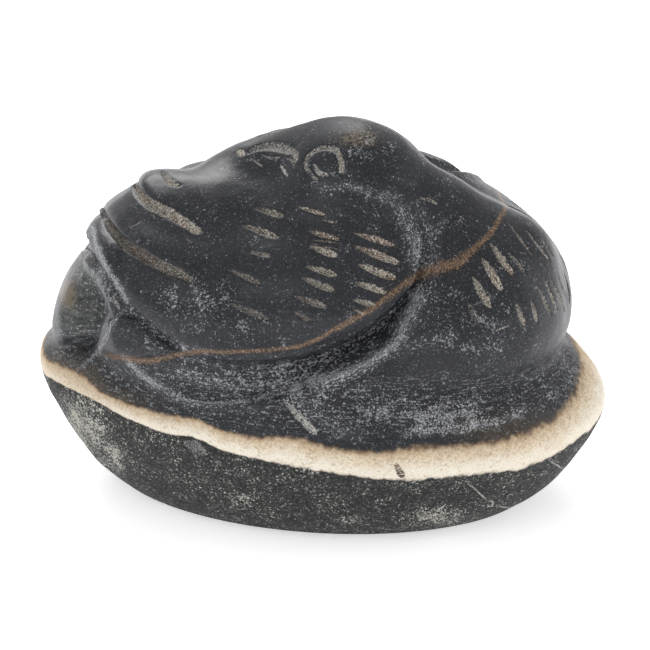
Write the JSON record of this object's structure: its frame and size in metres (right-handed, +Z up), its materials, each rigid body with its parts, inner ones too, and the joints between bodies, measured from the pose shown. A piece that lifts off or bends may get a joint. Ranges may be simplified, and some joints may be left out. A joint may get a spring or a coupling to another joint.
{
  "type": "stone duck figurine",
  "caption": "Small stone carving of a sleeping duck with its head laid back along its spine, resting on an oval base of the same banded stone.",
  "frame": {"origin": "centre of the bounding box on the plane of the flat underside", "axes": "+X towards the breast, along the longest side; +Y to the duck's far side; +Z up"},
  "size_m": [0.06, 0.04, 0.0416],
  "materials": {
    "banded_stone": "semi-polished"
  },
  "bodies": {
    "root": {"duck_figurine": "banded_stone"}
  },
  "joints": []
}
